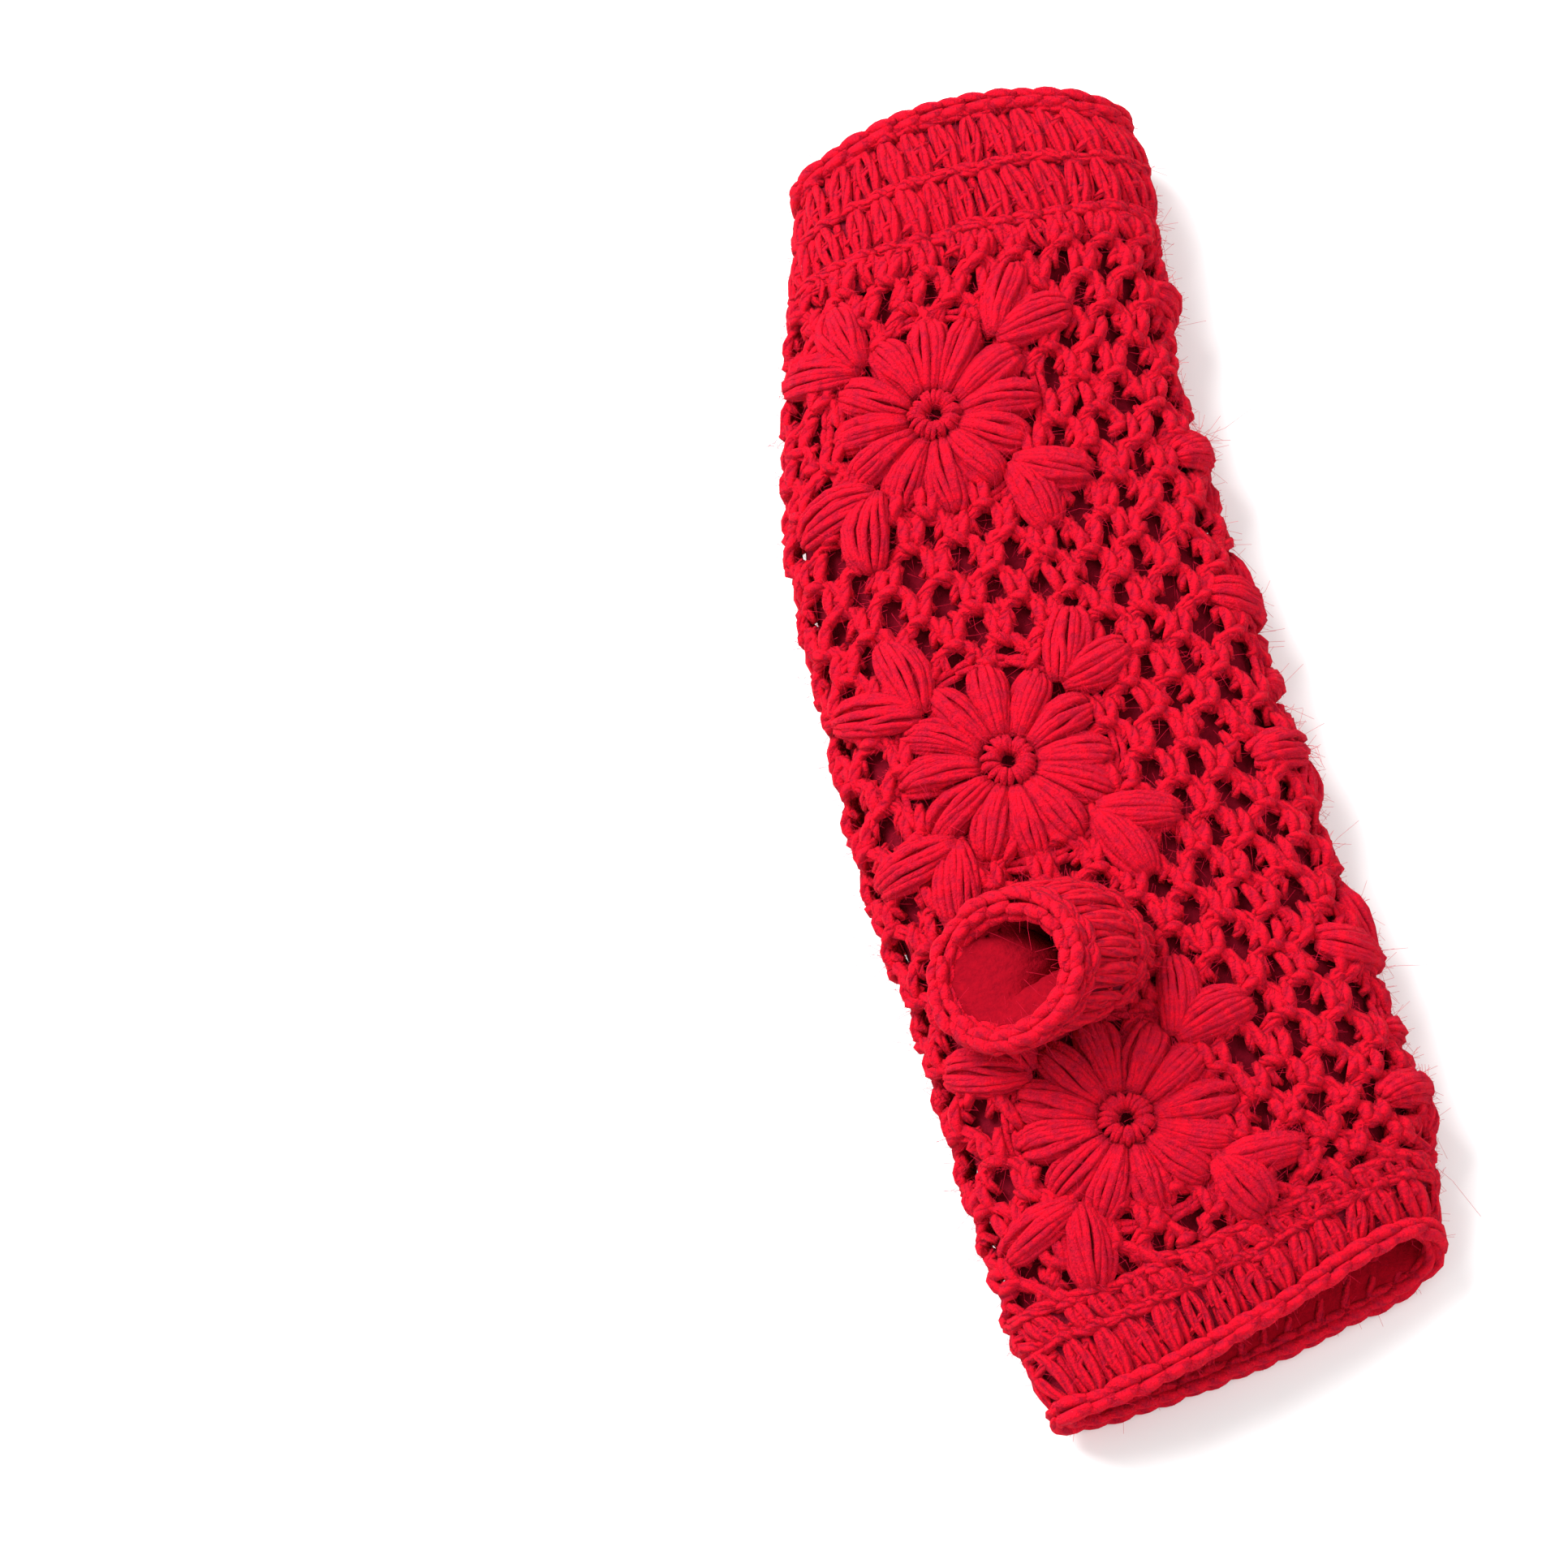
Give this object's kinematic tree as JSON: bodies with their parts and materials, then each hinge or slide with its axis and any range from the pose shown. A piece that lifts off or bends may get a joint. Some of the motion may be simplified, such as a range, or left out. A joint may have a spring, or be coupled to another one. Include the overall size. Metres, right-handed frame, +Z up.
{
  "type": "crochet fingerless glove",
  "caption": "Right-hand fingerless glove in thick crochet with raised flowers, a fleece lining and an open thumb sleeve, lying flat palm side up.",
  "frame": {"origin": "centre of the glove's bounding box, on the table it lies on", "axes": "+Y from the hand end to the arm end, +Z up out of the palm side, +X to the glove's right in the picture, away from the thumb's lean"},
  "size_m": [0.0968, 0.272, 0.0477],
  "materials": {
    "net_wool": "matt, fuzzy red wool, crocheted as a coarse net",
    "cuff_wool": "matt, fuzzy red wool in tall stitches",
    "flower_wool": "soft, loosely wound red wool",
    "braid_wool": "matt red wool in chain stitch",
    "fleece": "matt dark red fleece"
  },
  "bodies": {
    "root": {"lining": "fleece", "net": "net_wool", "hand_cuff": "cuff_wool", "arm_cuff": "cuff_wool", "hand_braid": "braid_wool", "arm_braid": "braid_wool", "thumb_sleeve": "cuff_wool", "thumb_lining": "fleece", "thumb_braid": "braid_wool", "flower_palm_1": "flower_wool", "leaves_palm_1_ne": "flower_wool", "leaves_palm_1_nw": "flower_wool", "leaves_palm_1_sw": "flower_wool", "leaves_palm_1_se": "flower_wool", "flower_palm_2": "flower_wool", "leaves_palm_2_ne": "flower_wool", "leaves_palm_2_nw": "flower_wool", "leaves_palm_2_sw": "flower_wool", "leaves_palm_2_se": "flower_wool", "flower_palm_3": "flower_wool", "leaves_palm_3_ne": "flower_wool", "leaves_palm_3_nw": "flower_wool", "leaves_palm_3_sw": "flower_wool", "leaves_palm_3_se": "flower_wool", "flower_back_1": "flower_wool", "leaves_back_1_ne": "flower_wool", "leaves_back_1_nw": "flower_wool", "leaves_back_1_sw": "flower_wool", "leaves_back_1_se": "flower_wool", "flower_back_2": "flower_wool", "leaves_back_2_ne": "flower_wool", "leaves_back_2_nw": "flower_wool", "leaves_back_2_sw": "flower_wool", "leaves_back_2_se": "flower_wool", "flower_back_3": "flower_wool", "leaves_back_3_ne": "flower_wool", "leaves_back_3_nw": "flower_wool", "leaves_back_3_sw": "flower_wool", "leaves_back_3_se": "flower_wool"}
  },
  "joints": []
}
